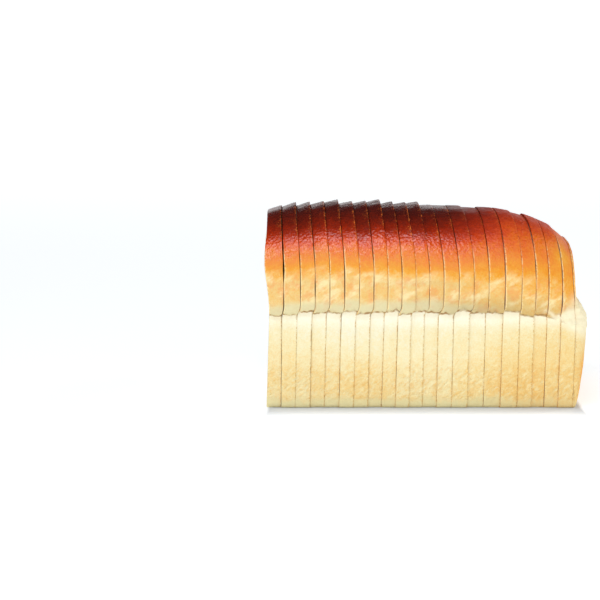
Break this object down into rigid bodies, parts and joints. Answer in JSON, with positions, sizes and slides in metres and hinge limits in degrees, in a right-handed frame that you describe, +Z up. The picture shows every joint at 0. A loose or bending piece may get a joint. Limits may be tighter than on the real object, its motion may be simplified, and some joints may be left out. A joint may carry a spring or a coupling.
{
  "type": "sliced bread loaf",
  "caption": "Sliced white tin loaf standing on its base, with a domed brown crown over pale straight sides, one open cut end and a crusted end.",
  "frame": {"origin": "middle of the loaf's footprint, on the surface it stands on", "axes": "+X along the loaf from the open cut end towards the end crust, +Y across it, +Z up"},
  "size_m": [0.2061, 0.1174, 0.1267],
  "materials": {
    "sliced_bread": "baked bread: glossy dark brown dome fading to pale cream tin sides, fine white crumb on the cut faces",
    "end_crust": "thin matte golden end crust, pale where it tore in the oven"
  },
  "bodies": {
    "root": {"slice_01": "sliced_bread", "slice_02": "sliced_bread", "slice_03": "sliced_bread", "slice_04": "sliced_bread", "slice_05": "sliced_bread", "slice_06": "sliced_bread", "slice_07": "sliced_bread", "slice_08": "sliced_bread", "slice_09": "sliced_bread", "slice_10": "sliced_bread", "slice_11": "sliced_bread", "slice_12": "sliced_bread", "slice_13": "sliced_bread", "slice_14": "sliced_bread", "slice_15": "sliced_bread", "slice_16": "sliced_bread", "slice_17": "sliced_bread", "slice_18": "sliced_bread", "slice_19": "sliced_bread", "slice_20": "sliced_bread", "slice_21": "sliced_bread", "heel": "end_crust"}
  },
  "joints": []
}
